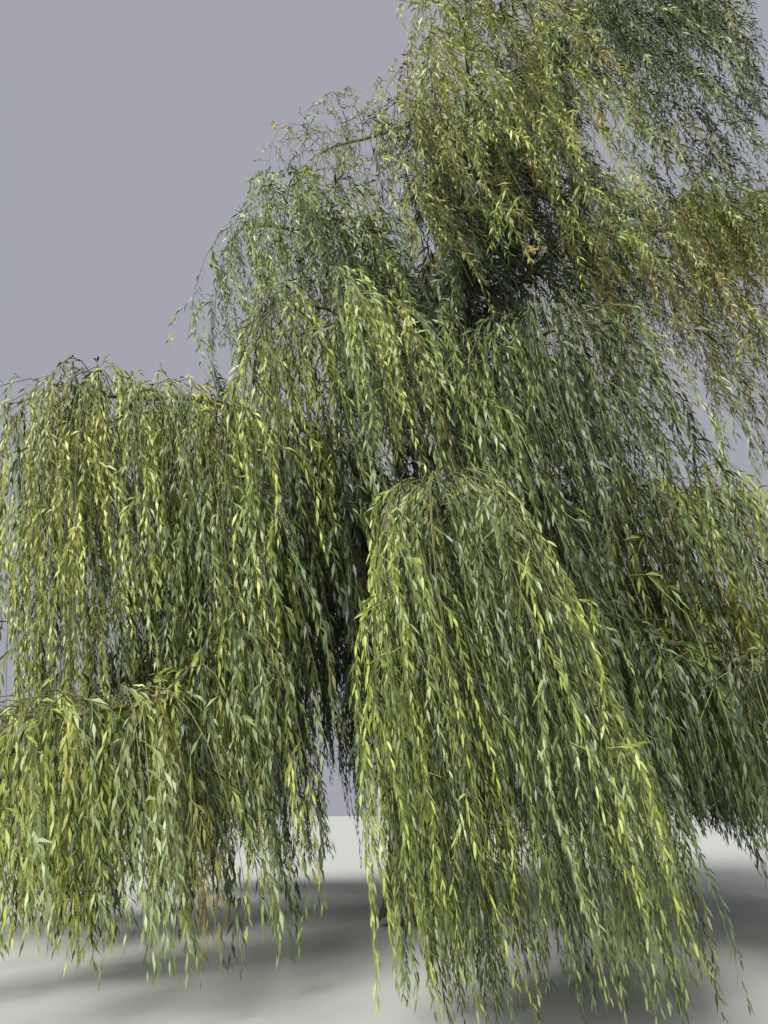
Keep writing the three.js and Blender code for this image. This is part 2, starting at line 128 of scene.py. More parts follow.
# %% Sizes of the trunk and of the tiers
TRUNK_HEIGHT, TRUNK_LEAN, TRUNK_SWAY = 14.3, 2.3, 0.45
TRUNK_RADIUS, TRUNK_TIP_RADIUS = 0.32, 0.07
TRUNK_STRAIGHT_TO, TRUNK_SWAYS_AT, TRUNK_LEAN_THERE = 0.36, 0.68, 0.3
FLARE_WIDTH, FLARE_HEIGHT, FLARE_LOBES, FLARE_LOBE_DEPTH = 0.23, 0.42, 5, 0.28
SECTORS, FRONT_AZIMUTH, GOLDEN_ANGLE = 6, -90, 137.5
OUTER_PIECES, STEM_PIECES = 6, 3
CROWN_LEAN, CROWN_LEAN_FROM = 0.16, 3.5
SOLID_GAP = 0.0003

TIERS = {
    "outer": {"reach": 4.9, "top": 4.25, "hem": 0.18, "stem": 1.5, "spread": 2.3, "lift": 0.8},
    "inner": {"reach": 4.9, "top": 3.0, "hem": 0.2, "stem": 1.1, "spread": 1.9, "lift": 0.5},
    "middle": {"reach": 3.2, "top": 7.5, "hem": 1.2, "stem": 1.4, "spread": 2.2, "lift": 0.9},
    "upper": {"stem": 1.5, "spread": 2.5, "lift": 1.1},
    "top": {"hem": 12.8, "stem": 3.5, "spread": 2.2, "lift": 2.2},
}
LEEWARD_RISE, LEEWARD_DROP = 0.8, {"outer": 1.3, "middle": 2.4}

# %% Sizes of the boughs, with the share by which a reach or a height may differ from bough to bough
OUTER_FORK, OUTER_FORK_STEP, OUTER_RISE, FRONT_SPREAD = 2.35, 0.62, 0.55, 1.3
OUTER_BOUGH = {"rise": 2.6, "foot": 0.15, "tip": 0.044}
OUTER_REACH_SHARE, OUTER_TOP_SHARE = 0.05, 0.04

INNER_FORK, INNER_TURN, LOW_INNER_TURN, LOW_INNER_TOP = 0.5, 40, 26, 2.5
INNER_BOUGH = {"rise": 0.5, "foot": 0.066, "tip": 0.038}
INNER_SHARE = 0.06

MIDDLE_BOUGHS, MIDDLE_AZIMUTH, MIDDLE_FORK, MIDDLE_FORK_STEP = 9, -116, 4.0, 0.5
MIDDLE_BOUGH = {"rise": 2.4, "foot": 0.09, "tip": 0.04}
MIDDLE_REACH_SHARE, MIDDLE_TOP_SHARE = 0.08, 0.07

# Each pair gives the lowest and the highest upper bough.
UPPER_BOUGHS, UPPER_AZIMUTH = 8, 70
UPPER_FORK, UPPER_CLIMB, UPPER_REACH = (6.5, 12.3), (3.7, 3.2), (3.4, 2.3)
UPPER_FOOT, UPPER_TIP = (0.092, 0.052), (0.046, 0.032)
UPPER_HEM, UPPER_SPREAD = (5.8, 8.8), (1, 0.8)
UPPER_RISE = 0.62
UPPER_REACH_SHARE, UPPER_TOP_SHARE = 0.08, 0.03

# How an arching bough bends, as shares of the way that it spans.
LEAVES_OUT, ARRIVES_OUT, ARRIVES_UP = 0.25, 0.4, 0.16


def arching(start, tip, azimuth, rise):
    """A bough that springs upwards from its parent and arches over towards its tip."""
    out = compass(azimuth)
    span = math.hypot(tip[0] - start[0], tip[1] - start[1])
    leaving = start + out * span * LEAVES_OUT + UP * rise
    arriving = tip - out * span * ARRIVES_OUT + UP * span * ARRIVES_UP
    return np.array([start, leaving, arriving, tip])


def crown_point(azimuth, reach, height):
    """A place at a distance and height round the crown's own leaning middle."""
    point = compass(azimuth) * reach
    point[0] += CROWN_LEAN * max(0, height - CROWN_LEAN_FROM)
    point[2] = height
    return point


def leeward(azimuth):
    """1 on the side that the wind blows towards, falling to 0 on the other."""
    return max(0, math.cos(math.radians(azimuth)))


# %% The trunk, and lists for all limbs and masses
LIMB_SEED, HALVINGS = 11, 30
limbs, masses = [], []
vary_draw = seeded_random(LIMB_SEED)


def vary(share):
    return 1 + share * (2 * vary_draw() - 1)


def add_limb(name, curve, foot, tip):
    limbs.append({"name": name, "curve": curve, "foot": foot, "tip": tip})
    return limbs[-1]


def add_mass(kind, number, limb, azimuth, **sizes):
    """A mass on a limb's tip, with its tier's sizes apart from those that are given."""
    name = f"{kind}_{number}" if number else kind
    own = {"name": name, "kind": kind, "number": number, "limb": limb, "azimuth": azimuth}
    masses.append({**own, **TIERS[kind], **sizes})


trunk_curve = np.array([
    [0, 0, 0],
    [0, 0, TRUNK_HEIGHT * TRUNK_STRAIGHT_TO],
    [TRUNK_LEAN * TRUNK_LEAN_THERE, TRUNK_SWAY, TRUNK_HEIGHT * TRUNK_SWAYS_AT],
    [TRUNK_LEAN, -TRUNK_SWAY, TRUNK_HEIGHT],
])
trunk = add_limb("trunk", trunk_curve, TRUNK_RADIUS, TRUNK_TIP_RADIUS)


def on_trunk(height):
    """The middle of the trunk at a height, found by halving the way again and again."""
    low, high = 0.0, 1.0
    for _ in range(HALVINGS):
        half = (low + high) / 2
        if curve_points(trunk["curve"], half)[2] < height:
            low = half
        else:
            high = half
    return curve_points(trunk["curve"], half)


# %% Outer and inner boughs
for k in range(SECTORS):
    azimuth = FRONT_AZIMUTH + 360 / SECTORS * k
    lee = leeward(azimuth)
    tier = TIERS["outer"]
    outer_top = (tier["top"] + OUTER_RISE * k - LEEWARD_DROP["outer"] * lee) * vary(OUTER_TOP_SHARE)
    outer_tip = crown_point(azimuth, tier["reach"] * vary(OUTER_REACH_SHARE), outer_top)
    outer_start = on_trunk(OUTER_FORK + OUTER_FORK_STEP * (k % 2))
    outer_curve = arching(outer_start, outer_tip, azimuth, OUTER_BOUGH["rise"])
    outer = add_limb(f"outer_{k + 1}", outer_curve, OUTER_BOUGH["foot"], OUTER_BOUGH["tip"])
    spread = tier["spread"] if k else FRONT_SPREAD
    add_mass("outer", k + 1, outer, azimuth, hem=tier["hem"] + LEEWARD_RISE * lee, spread=spread)

    is_low = k == SECTORS - 1
    between = azimuth + (LOW_INNER_TURN if is_low else INNER_TURN)
    tier = TIERS["inner"]
    inner_top = LOW_INNER_TOP if is_low else tier["top"]
    inner_tip = crown_point(between, tier["reach"] * vary(INNER_SHARE), inner_top * vary(INNER_SHARE))
    inner_start = on_pieces(outer["curve"], INNER_FORK, OUTER_PIECES)
    inner_curve = arching(inner_start, inner_tip, between, INNER_BOUGH["rise"])
    inner = add_limb(f"inner_{k + 1}", inner_curve, INNER_BOUGH["foot"], INNER_BOUGH["tip"])
    add_mass("inner", k + 1, inner, between, hem=tier["hem"] + LEEWARD_RISE * leeward(between))
print(len(limbs) - 1, "outer and inner boughs")

# %% Middle boughs
for k in range(MIDDLE_BOUGHS):
    azimuth = MIDDLE_AZIMUTH + 360 / MIDDLE_BOUGHS * k
    tier = TIERS["middle"]
    middle_reach = tier["reach"] * vary(MIDDLE_REACH_SHARE)
    middle_top = (tier["top"] - LEEWARD_DROP["middle"] * leeward(azimuth)) * vary(MIDDLE_TOP_SHARE)
    middle_tip = crown_point(azimuth, middle_reach, middle_top)
    middle_start = on_trunk(MIDDLE_FORK + MIDDLE_FORK_STEP * (2 * k % 3))
    middle_curve = arching(middle_start, middle_tip, azimuth, MIDDLE_BOUGH["rise"])
    middle = add_limb(f"middle_{k + 1}", middle_curve, MIDDLE_BOUGH["foot"], MIDDLE_BOUGH["tip"])
    add_mass("middle", k + 1, middle, azimuth)
print(MIDDLE_BOUGHS, "middle boughs")

# %% Upper boughs and the trunk's own tip
for k in range(UPPER_BOUGHS):
    share = k / (UPPER_BOUGHS - 1)
    azimuth = UPPER_AZIMUTH + GOLDEN_ANGLE * k
    fork, climb = mix(*UPPER_FORK, share), mix(*UPPER_CLIMB, share)
    height = (fork + climb) * vary(UPPER_TOP_SHARE)
    upper_tip = crown_point(azimuth, mix(*UPPER_REACH, share) * vary(UPPER_REACH_SHARE), height)
    upper_curve = arching(on_trunk(fork), upper_tip, azimuth, climb * UPPER_RISE)
    upper = add_limb(f"upper_{k + 1}", upper_curve, mix(*UPPER_FOOT, share), mix(*UPPER_TIP, share))
    spread = TIERS["upper"]["spread"] * mix(*UPPER_SPREAD, share)
    add_mass("upper", k + 1, upper, azimuth, hem=mix(*UPPER_HEM, share), spread=spread)
add_mass("top", 0, trunk, 0)
print(len(limbs), "limbs carry", len(masses), "masses of foliage")

# %% [markdown]
# ## Where each mass of foliage hangs
#
# A stem goes on from each bough's tip and droops. The mass keeps to the space that lies nearer to
# its own axis than to any other's, so the curtains stay apart and the gaps between them stay open.
# The wind pushes whatever hangs downwind, more so higher up.

# %% Stems and axes of the masses
STEM_TIP_RADIUS = 0.024
STEM_OUT, STEM_DROOP, TOP_STEM_CLIMB = 0.85, 0.28, 0.95
STEM_LEAVING, STEM_BEND_OUT, STEM_BEND_UP = 0.35, 0.25, 0.2
TOP_STEM_WAY = np.array([0.25, -0.1, 0])
AXIS_STARTS_AT, AXIS_LIFT = 0.6, 0.5
WIND_ON_GROUND, WIND_PER_METRE = 0.14, 0.012


def wind_at(height):
    """How far the wind pushes what hangs, for each metre that it hangs."""
    return WIND_ON_GROUND + WIND_PER_METRE * height


def add_stem(mass):
    """Adds a mass's stem, the way that it points, and the axis that the mass hangs round."""
    heading = end_heading(mass["limb"]["curve"])
    start = mass["limb"]["curve"][3] + heading * SOLID_GAP
    length = mass["stem"]
    if mass["kind"] == "top":
        out, climb, bend_up = TOP_STEM_WAY, TOP_STEM_CLIMB, -STEM_BEND_UP
        mass["out"] = compass(0)
    else:
        out, climb, bend_up = compass(mass["azimuth"]), -STEM_DROOP, STEM_BEND_UP
        mass["out"] = out
    end = start + out * length * STEM_OUT + UP * length * climb
    bend = end - out * length * STEM_BEND_OUT + UP * length * bend_up
    mass["stem_curve"] = np.array([start, start + heading * length * STEM_LEAVING, bend, end])
    middle = curve_points(mass["stem_curve"], AXIS_STARTS_AT)
    drop = middle[2] - mass["hem"]
    foot = np.array([middle[0] + drop * wind_at(mass["hem"] + drop / 2), middle[1], mass["hem"]])
    mass["axis"] = np.array([middle + UP * mass["lift"] * AXIS_LIFT, foot])


for mass in masses:
    add_stem(mass)
axes = np.array([mass["axis"] for mass in masses])
drops = axes[:, 0, 2] - axes[:, 1, 2]
print("the masses hang", round(drops.min(), 1), "to", round(drops.max(), 1), "m down")


def distances_to_axes(points):
    """Distance of each point to each mass's axis, as a table."""
    run = axes[:, 1] - axes[:, 0]
    offset = points[:, None, :] - axes[None, :, 0]
    share = np.clip((offset * run).sum(-1) / (run * run).sum(-1), 0, 1)
    return np.linalg.norm(offset - share[..., None] * run, axis=-1)


# %% [markdown]
# ## Twigs and shoots
#
# A weeping willow's twigs rise from the bough, arch over and then hang. From each twig hang many
# long, thin, unbranched shoots, and the leaves grow on these. By hand one would draw a few and
# scatter copies. Here each one is worked out, all shoots of a twig at once, because real shoots set
# off in their own directions and then all hang the same way.

# %% Twigs by the same rule as in the solids
FIRST_TWIG, TWIG_SPAN, TWIG_EARLIEST, TWIG_CHANCE = 0.08, 0.9, 0.3, 0.6
TWIG_TURN_AT_FOOT, TWIG_TURN_AT_TIP = 120, 25
TWIG_TURN_LEAST, TWIG_TURN_CHANCE = 0.6, 0.5
TWIG_LEAST_REACH, TWIG_LEAST_LIFT = 0.25, 0.4
TWIG_FOOT, TWIG_END_RISE = 0.14, 0.55
ARCH_OUT, ARCH_UP, SHOULDER_OUT, SHOULDER_DROP, SHOULDER_WIND = 0.6, 1.3, 1.05, 0.4, 0.25
BOUGH_TWIGS = {"outer": 0.75, "inner": 0.7, "middle": 0.85, "upper": 0.85, "top": 0.35}


def turned(vector, degrees):
    """A level vector turned about the upright axis."""
    a = math.radians(degrees)
    x = vector[0] * math.cos(a) - vector[1] * math.sin(a)
    y = vector[0] * math.sin(a) + vector[1] * math.cos(a)
    return np.array([x, y, vector[2]])


def twig_curve(mass, turn, count, draw):
    """A twig leaves the stem sideways, arches over and hangs down, leaning with the wind.

    Every third twig starts on the bough instead. Gives the curve and the height of its hem."""
    share = FIRST_TWIG + TWIG_SPAN * (turn + TWIG_EARLIEST + TWIG_CHANCE * draw()) / count
    start = on_pieces(mass["stem_curve"], share, STEM_PIECES)
    if turn % 3 == 2:
        start = curve_points(mass["limb"]["curve"], 1 - BOUGH_TWIGS[mass["kind"]] * share)
    sideways = (-1 if turn % 2 else 1) * mix(TWIG_TURN_AT_FOOT, TWIG_TURN_AT_TIP, share)
    heading = turned(mass["out"], sideways * (TWIG_TURN_LEAST + TWIG_TURN_CHANCE * draw()))
    reach = mass["spread"] * mix(TWIG_LEAST_REACH, 1, draw())
    lift = mass["lift"] * mix(TWIG_LEAST_LIFT, 1, draw())
    hem = mix(mass["hem"], start[2], TWIG_END_RISE * draw() ** 2)
    drop = start[2] - hem
    foot = start + heading * reach
    foot[0] += drop * wind_at((start[2] + hem) / 2)
    foot[2] = hem + TWIG_FOOT * drop
    shoulder = start + heading * reach * SHOULDER_OUT - UP * drop * SHOULDER_DROP
    shoulder[0] += drop * SHOULDER_WIND * wind_at(start[2])
    rise = start + heading * reach * ARCH_OUT + UP * lift * ARCH_UP
    return np.array([start, rise, shoulder, foot]), hem


# %% Shoots that set off from a twig and hang
SHOOT_STEPS, SHOOT_BENDS_EARLY = 5, 1.35
SHOOT_SHARES = (np.arange(SHOOT_STEPS + 1) / SHOOT_STEPS) ** SHOOT_BENDS_EARLY


def hanging_shoots(starts, headings, lengths, bends, sways):
    """Points along many shoots at once: each sets off along its heading, bends over and hangs."""
    points = np.empty((len(starts), SHOOT_STEPS + 1, 3))
    points[:, 0] = starts
    for step in range(SHOOT_STEPS):
        near, far = SHOOT_SHARES[step], SHOOT_SHARES[step + 1]
        stiff = np.exp(-(near + far) / 2 * lengths / bends)[:, None]
        hang = sways[:, step] - UP
        hang[:, 0] += wind_at(points[:, step, 2])
        way = unit(headings * stiff + unit(hang) * (1 - stiff))
        points[:, step + 1] = points[:, step] + way * (lengths * (far - near))[:, None]
    return points


# %% [markdown]
# ## How full each mass is
#
# The nearest curtain's leaves are life size, about 12 cm, with six corners each. The other leaves
# cover a few pixels at most. They are larger than life, so that fewer of them fill the crown, and four
# corners are enough. Both kinds bend at their widest place. High up the wind has tousled the shoots,
# so there they sway more and their leaves stand off further.

# %% Growth of each tier
# A mass has twigs, and each twig has shoots of a length in metres. A shoot hangs straight after its
# bend. Level is how far a shoot goes on below its twig's hem towards the mass's own. Leaves have a
# spacing along the shoot and a length, and loose says how much shoots sway and leaves stand off.
GROWTH = {
    "outer": {"twigs": 40, "shoots": 12, "length": 2.1, "bend": 0.22, "level": 0.75,
              "spacing": 0.041, "leaf": 0.157, "loose": 1},
    "inner": {"twigs": 30, "shoots": 12, "length": 2, "bend": 0.22, "level": 0.75,
              "spacing": 0.047, "leaf": 0.17, "loose": 1},
    "middle": {"twigs": 34, "shoots": 12, "length": 1.9, "bend": 0.26, "level": 0.1,
               "spacing": 0.052, "leaf": 0.182, "loose": 1.1},
    "upper": {"twigs": 36, "shoots": 15, "length": 1.5, "bend": 0.36, "level": 0,
              "spacing": 0.042, "leaf": 0.178, "loose": 1.9},
    "top": {"twigs": 44, "shoots": 15, "length": 1.3, "bend": 0.5, "level": 0,
            "spacing": 0.042, "leaf": 0.17, "loose": 2.1},
    "tufts": {"twigs": 30, "shoots": 13, "length": 0.8, "bend": 0.8, "level": 0,
              "spacing": 0.035, "leaf": 0.15, "loose": 2},
}
GROWTH["windward"] = {**GROWTH["outer"], "twigs": 80, "shoots": 13, "spacing": 0.039, "leaf": 0.163}
GROWTH["behind"] = {**GROWTH["outer"], "twigs": 44, "leaf": 0.17}
GROWTH["front"] = {**GROWTH["outer"], "twigs": 64, "shoots": 13, "length": 3.1, "level": 1,
                   "spacing": 0.031, "leaf": 0.117}
GROWTH["crest"] = {**GROWTH["upper"], "twigs": 48}
UNUSUAL_GROWTH = {"outer_1": "front", "outer_5": "behind", "outer_6": "windward",
                  "upper_3": "crest", "upper_7": "tufts", "upper_8": "crest"}
# The bare share of a bough and the count of shoots on the rest of it, for a tier or one mass.
BOUGH_SHOOTS = {
    "outer": (0.3, 50),
    "inner": (0.1, 62),
    "middle": (0.25, 40),
    "upper": (0.08, 66),
    "top": (0.46, 260),
    "inner_1": (0.4, 150),
    "inner_6": (0.4, 130),
}
BOUGH_SHOOT_STIFFNESS, BOUGH_TIP_BARE = 1.7, 0.98
BOUGH_OVERLAP, TRUNK_SHOOT_HEM = 2.5, 6.0


def growth_of(mass):
    return GROWTH[UNUSUAL_GROWTH.get(mass["name"], mass["kind"])]


# %% The space that a mass keeps to
# Neighbours may reach a little into each other's space. The rim is the crown's outside, given as its
# reach from the crown's leaning middle at a few heights.
OVERLAP = 0.45
RIM_HEIGHTS, RIM_REACH, RIM_DRIFT = (8.3, 9.8, 13, 16, 18), (9.0, 5.3, 4.9, 4.9, 3.5), 0.5
BOX_MARGIN, GROUND_CLEAR = 0.12, 0.06
REACH_LOW, REACH_HIGH = np.array(cad_low) - BOX_MARGIN, np.array(cad_high) + BOX_MARGIN


def in_reach(points, index, overlap=OVERLAP):
    """True where a point is in its mass's own space, above the ground and in the solids' reach."""
    near = distances_to_axes(points)
    others = np.delete(near, index, axis=1).min(axis=1)
    inside = np.all((points > REACH_LOW) & (points < REACH_HIGH), axis=1)
    middle = CROWN_LEAN * np.maximum(0, points[:, 2] - CROWN_LEAN_FROM) + RIM_DRIFT
    away = np.hypot(points[:, 0] - middle, points[:, 1])
    within = away < np.interp(points[:, 2], RIM_HEIGHTS, RIM_REACH)
    return inside & within & (near[:, index] < others + 2 * overlap) & (points[:, 2] > GROUND_CLEAR)


# %% How shoots set off
LENGTH_CHANCE, ROOM_CHANCE, BEND_CHANCE = (0.55, 1.25), (0.75, 1.0), (0.6, 1.4)
LEAST_ROOM, PAST_HEM = 0.3, 1.02
SHOOT_SWAY, STEP_SWAY = 0.05, 0.09
AHEAD, A_BIT_ALONG = 0.7, 0.01
ASIDE_SPREAD, ASIDE_LIFT = [1, 1, 0.4], [0, 0, 0.35]
LEVEL_ONLY = [1, 1, 0]


def set_off(curve, shares, hem, growth, chance):
    """Where and how shoots set off from a curve: start, heading, length, stiffness and sway of each."""
    count = len(shares)
    starts = curve_points(curve, shares)
    ahead = unit(curve_points(curve, shares + A_BIT_ALONG) - starts)
    aside = unit(chance.normal(0, 1, (count, 3)) * ASIDE_SPREAD + ASIDE_LIFT)
    room = np.maximum(starts[:, 2] - hem, LEAST_ROOM) * PAST_HEM
    wanted = growth["length"] * chance.uniform(*LENGTH_CHANCE, count)
    lengths = np.minimum(wanted, room * chance.uniform(*ROOM_CHANCE, count))
    bends = growth["bend"] * chance.uniform(*BEND_CHANCE, count)
    sways = chance.normal(0, SHOOT_SWAY, (count, 1, 3))
    sways = sways + chance.normal(0, STEP_SWAY, (count, SHOOT_STEPS, 3))
    return starts, unit(ahead * AHEAD + aside), lengths, bends, sways * growth["loose"] * LEVEL_ONLY


# %% Grow the twigs and shoots of every mass
TWIG_SEED, SHOOT_SEED, LEAF_SEED = 100, 1000, 2000
TWIG_RINGS, TWIG_BENDS_EARLY = 9, 1.2
TWIG_RING_SHARES = (np.arange(TWIG_RINGS) / (TWIG_RINGS - 1)) ** TWIG_BENDS_EARLY
FEWEST_TWIG_RINGS, TWIG_BARE_SHARE, SHORTEST_SHOOT = 4, 0.12, 0.25


def grow_twigs(index, chance):
    """The twigs of one mass as rows of points, and the facts of each twig's shoots."""
    mass = masses[index]
    growth = growth_of(mass)
    draw = seeded_random(TWIG_SEED + index)
    twigs, facts = [], []
    for turn in range(growth["twigs"]):
        curve, hem = twig_curve(mass, turn, growth["twigs"], draw)
        line = curve_points(curve, TWIG_RING_SHARES)
        fits = in_reach(line, index)
        reached = len(fits) if fits.all() else int(np.argmin(fits))
        if reached >= FEWEST_TWIG_RINGS:
            twigs.append(line[:reached])
            even = (np.arange(growth["shoots"]) + chance.random(growth["shoots"])) / growth["shoots"]
            shares = TWIG_RING_SHARES[reached - 1] * mix(TWIG_BARE_SHARE, 1, even)
            shoot_hem = mix(hem, mass["hem"], growth["level"])
            facts.append(set_off(curve, shares, shoot_hem, growth, chance))
    return twigs, facts


def bough_shoots(mass, chance):
    """The facts of the shoots that grow straight from the bough, or from the trunk under its tip."""
    growth = growth_of(mass)
    bare, count = BOUGH_SHOOTS.get(mass["name"], BOUGH_SHOOTS[mass["kind"]])
    shares = chance.uniform(bare, BOUGH_TIP_BARE, count)
    hem = TRUNK_SHOOT_HEM if mass["kind"] == "top" else mass["hem"]
    springy = {**growth, "bend": growth["bend"] * BOUGH_SHOOT_STIFFNESS}
    return set_off(mass["limb"]["curve"], shares, hem, springy, chance)


def grow_mass(index):
    """The twigs of one mass, the points along its shoots, the shoots' lengths and each shoot's twig.

    A shoot that would leave the mass's space is grown again, shorter."""
    chance = np.random.default_rng(SHOOT_SEED + index)
    twigs, facts = grow_twigs(index, chance)
    facts.append(bough_shoots(masses[index], chance))
    twig_of = np.repeat(np.arange(len(facts)), [len(starts) for starts, *_ in facts])
    starts, headings, lengths, bends, sways = (np.concatenate(fact) for fact in zip(*facts))
    shoots = hanging_shoots(starts, headings, lengths, bends, sways)
    overlap = np.where(twig_of < len(twigs), OVERLAP, BOUGH_OVERLAP).repeat(SHOOT_STEPS + 1)
    fits = in_reach(shoots.reshape(-1, 3), index, overlap).reshape(shoots.shape[:2])
    fits[:, 0] = True
    lengths = lengths * np.where(fits.all(axis=1), 1.0, SHOOT_SHARES[np.argmin(fits, axis=1) - 1])
    keep = lengths > SHORTEST_SHOOT
    shoots = hanging_shoots(starts[keep], headings[keep], lengths[keep], bends[keep], sways[keep])
    return twigs, shoots, lengths[keep], twig_of[keep]


grown = [grow_mass(index) for index in range(len(masses))]
twig_count = sum(len(twigs) for twigs, *_ in grown)
print(twig_count, "twigs and", sum(len(shoots) for _, shoots, *_ in grown), "shoots")

# %% [markdown]
# ## From points to meshes
#
# Tens of thousands of small things are made as joined meshes from arrays, because a separate object
# for each would be slow to draw and to export. A twig is a tube of three sides: each ring of corners
# lies round a point of its line, and the rings are joined by faces. Most shoots are only flat ribbons,
# turned each its own way, because they are a few millimetres thick.

# %% Ribbons and tubes from arrays
# A way that no limb or shoot follows, from which the ways across it are worked out.
ODD_WAY = [0.31, 0.95, 0.05]
RIBBON_TURN = 2.4


def ribbon_arrays(lines, widths):
    """Corners and faces of flat ribbons along lines of equal point count, given as one array."""
    count, rings, _ = lines.shape
    heading = unit(lines[:, -1] - lines[:, 0])
    across = unit(np.cross(heading, ODD_WAY))[:, None]
    other = np.cross(heading[:, None], across)
    turn = np.arange(count)[:, None, None] * RIBBON_TURN
    across = across * np.cos(turn) + other * np.sin(turn)
    half = across * widths[:, :, None] / 2
    corners = np.stack([lines - half, lines + half], axis=2)
    strip, ring = np.meshgrid(np.arange(count), np.arange(rings - 1), indexing="ij")
    here = (strip * rings + ring) * 2
    faces = np.stack([here, here + 1, here + 3, here + 2], axis=-1)
    return corners.reshape(-1, 3), faces.reshape(-1, 4)


def tube_arrays(lines, radii, sides=3):
    """Corners and faces of tubes along lines of equal point count, given as one array."""
    count, rings, _ = lines.shape
    heading = np.empty_like(lines)
    heading[:, 1:-1] = lines[:, 2:] - lines[:, :-2]
    heading[:, 0] = lines[:, 1] - lines[:, 0]
    heading[:, -1] = lines[:, -1] - lines[:, -2]
    heading = unit(heading)
    across = unit(np.cross(heading, ODD_WAY))
    other = np.cross(heading, across)
    turns = (np.arange(sides) * 2 * math.pi / sides)[:, None]
    spokes = across[:, :, None] * np.cos(turns) + other[:, :, None] * np.sin(turns)
    corners = lines[:, :, None] + spokes * radii[:, :, None, None]
    places = np.arange(count), np.arange(rings - 1), np.arange(sides)
    tube, ring, side = np.meshgrid(*places, indexing="ij")
    here = (tube * rings + ring) * sides
    after = (side + 1) % sides
    faces = np.stack([here + side, here + after, here + sides + after, here + sides + side], axis=-1)
    return corners.reshape(-1, 3), faces.reshape(-1, 4)


# %% A mesh from arrays
def mesh_piece(name, corners, faces, looks, materials):
    """An object of one mesh, from an array of corners, an array of faces and each face's material."""
    mesh = bpy.data.meshes.new(name)
    mesh.vertices.add(len(corners))
    mesh.vertices.foreach_set("co", np.ascontiguousarray(corners, np.float32).ravel())
    mesh.loops.add(faces.size)
    mesh.loops.foreach_set("vertex_index", np.ascontiguousarray(faces, np.int32).ravel())
    mesh.polygons.add(len(faces))
    mesh.polygons.foreach_set("loop_start", np.arange(0, faces.size, faces.shape[1], dtype=np.int32))
    for material in materials:
        mesh.materials.append(material)
    mesh.polygons.foreach_set("material_index", np.ascontiguousarray(looks, np.int32))
    mesh.update(calc_edges=True)
    mesh.validate()
    piece = bpy.data.objects.new(name, mesh)
    bpy.context.scene.collection.objects.link(piece)
    return piece


def joined(parts):
    """Several pairs of corners and faces as one pair."""
    offset, all_corners, all_faces = 0, [], []
    for corners, faces in parts:
        all_corners.append(corners)
        all_faces.append(faces + offset)
        offset += len(corners)
    return np.concatenate(all_corners), np.concatenate(all_faces)


# %% [markdown]
# ## Colours and finishes
#
# Willow leaves are dull green above and paler, greyer green below. In late summer the shoots in the
# light turn yellow-green and olive first. A picture of a leaf could be laid on each, but a leaf covers
# a few pixels. So each leaf material is one plain colour, and a whole shoot takes one of them, as a
# whole shoot turns colour on the tree.

# %% Materials
def linear(hex_colour):
    """An sRGB hex colour as linear red, green, blue and 1."""
    parts = [int(hex_colour[i:i + 2], 16) / 255 for i in (1, 3, 5)]
    return [c / 12.92 if c <= 0.04045 else ((c + 0.055) / 1.055) ** 2.4 for c in parts] + [1.0]


def new_material(name, hex_colour, roughness, gloss=0.35):
    material = bpy.data.materials.new(name)
    material.use_nodes = True
    shader = material.node_tree.nodes["Principled BSDF"]
    shader.inputs["Base Color"].default_value = linear(hex_colour)
    shader.inputs["Roughness"].default_value = roughness
    shader.inputs["Specular IOR Level"].default_value = gloss
    return material


def add_node(material, kind, settings=(), links=()):
    """Adds a node, sets its sockets and properties, and links its inputs from other nodes' outputs."""
    node = material.node_tree.nodes.new(kind)
    for key, value in dict(settings).items():
        if key in node.inputs:
            node.inputs[key].default_value = value
        else:
            setattr(node, key, value)
    for key, socket in dict(links).items():
        material.node_tree.links.new(socket, node.inputs[key])
    return node


# Living leaf under a thin wax: a soft gloss that gives pale glints where a blade faces the sky.
LEAF_ROUGHNESS, LEAF_GLOSS = 0.45, 0.42
# Dealt to the crown's inside and to its lee side, the deep and the blue greens are painted shade.
LEAF_COLOURS = {
    "deep": "#333e22",
    "green": "#728144",
    "grey": "#8f9d69",
    "blue": "#5d6e4c",
    "fresh": "#99a54e",
    "yellow": "#acaf5c",
    "olive": "#878247",
    "gold": "#a89c54",
}
LEAF_NAMES = list(LEAF_COLOURS)
leaf_materials = [new_material(f"willow leaf, {name}", LEAF_COLOURS[name], LEAF_ROUGHNESS, LEAF_GLOSS)
                  for name in LEAF_NAMES]

# This year's bark is smooth and taut, so it shines a little. Bark of two or three years is dull.
shoot_bark = new_material("willow shoot bark, olive yellow", "#8b9250", 0.6)
twig_bark = new_material("willow twig bark, olive brown", "#6d6b43", 0.75)
print(len(leaf_materials), "leaf colours")

# %% [markdown]
# ## Which colour a shoot takes
#
# The windward side and the crown's top are the most yellow, and the rest is a dull grey-green. On the
# lee side and deep inside the crown the shoots are dealt deep and bluish greens, which paint the shade
# that falls there. Each mass has one such mood, and the mood's weights say how likely each colour is
# for a shoot.

# %% How deep inside the crown a point lies
CROWN_HEIGHTS, CROWN_REACH = [0, 5, 9, 14, 18], [6.5, 6.0, 4.6, 3.2, 1.5]
INSIDE_AT_MIDDLE, INSIDE_FALL = 1.25, 1.35


def insideness(points):
    """1 near the crown's middle, falling to 0 at its outside."""
    height = points[:, 2]
    middle = CROWN_LEAN * np.maximum(0, height - CROWN_LEAN_FROM)
    away = np.hypot(points[:, 0] - middle, points[:, 1])
    rim = np.interp(height, CROWN_HEIGHTS, CROWN_REACH)
    return np.clip(INSIDE_AT_MIDDLE - INSIDE_FALL * away / rim, 0, 1)


